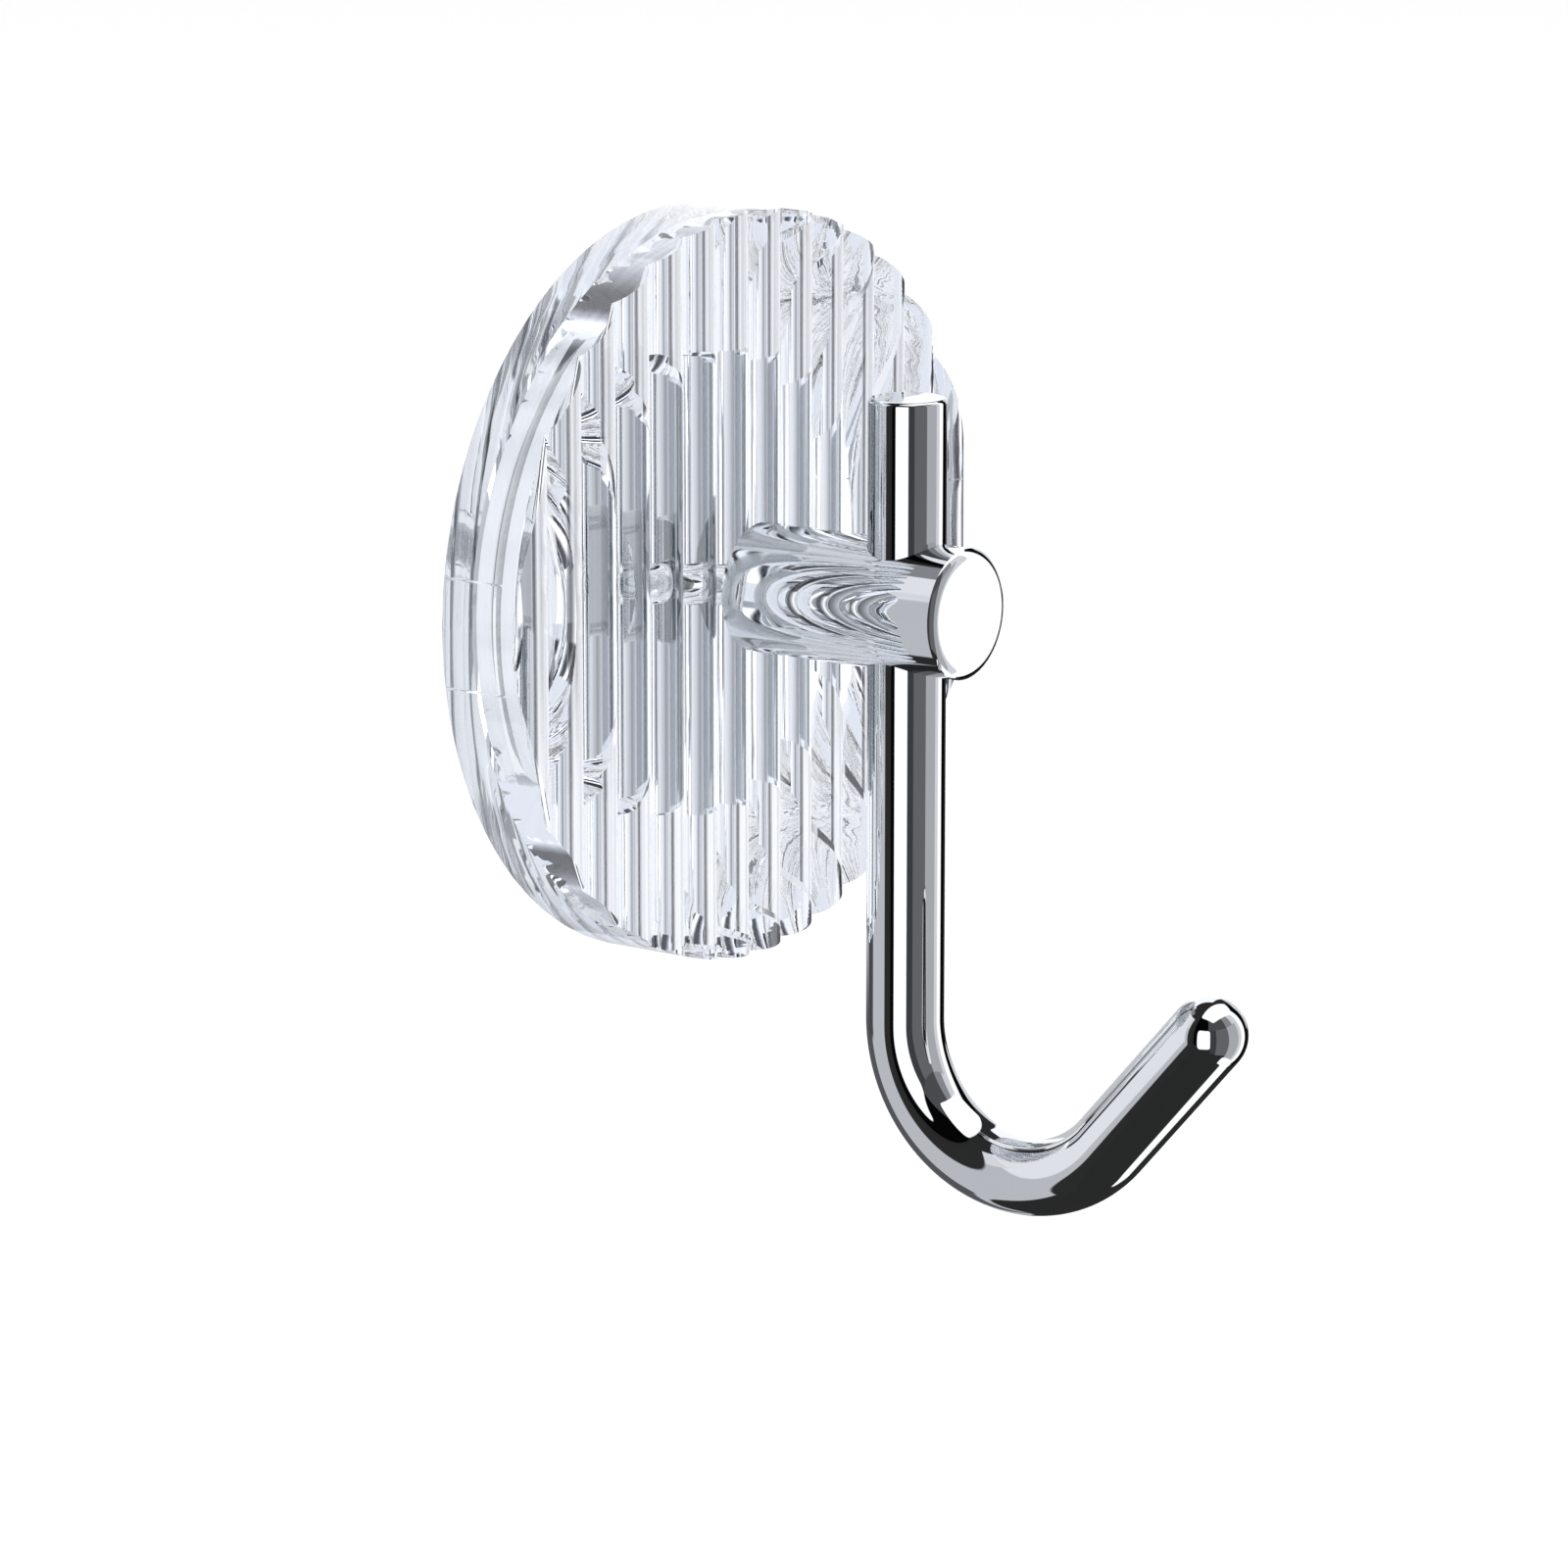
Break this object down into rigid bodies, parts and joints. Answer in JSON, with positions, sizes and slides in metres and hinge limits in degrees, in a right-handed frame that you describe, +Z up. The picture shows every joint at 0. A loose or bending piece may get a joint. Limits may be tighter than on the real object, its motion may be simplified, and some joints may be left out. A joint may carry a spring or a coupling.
{
  "type": "shower hook",
  "caption": "Wall hook: a bent chromed rod through a chromed post on a round reeded clear acrylic rosette, held to the wall by tape.",
  "frame": {"origin": "centre of the rear face that meets the wall, on the post's axis", "axes": "+Y into the wall, so that the hook stands out towards -Y; +Z up; +X to the right as seen from the front"},
  "size_m": [0.058, 0.0526, 0.0748],
  "materials": {
    "clear_acrylic": "clear, reeded front",
    "chrome_plate": "mirror bright",
    "polished_steel": "polished",
    "screw_steel": "satin",
    "foam_tape": "matte"
  },
  "bodies": {
    "root": {"fluted_disc": "clear_acrylic", "backing_plate": "polished_steel", "mounting_tape": "foam_tape", "post": "chrome_plate", "hook_rod": "chrome_plate", "fixing_screw": "screw_steel"}
  },
  "joints": []
}
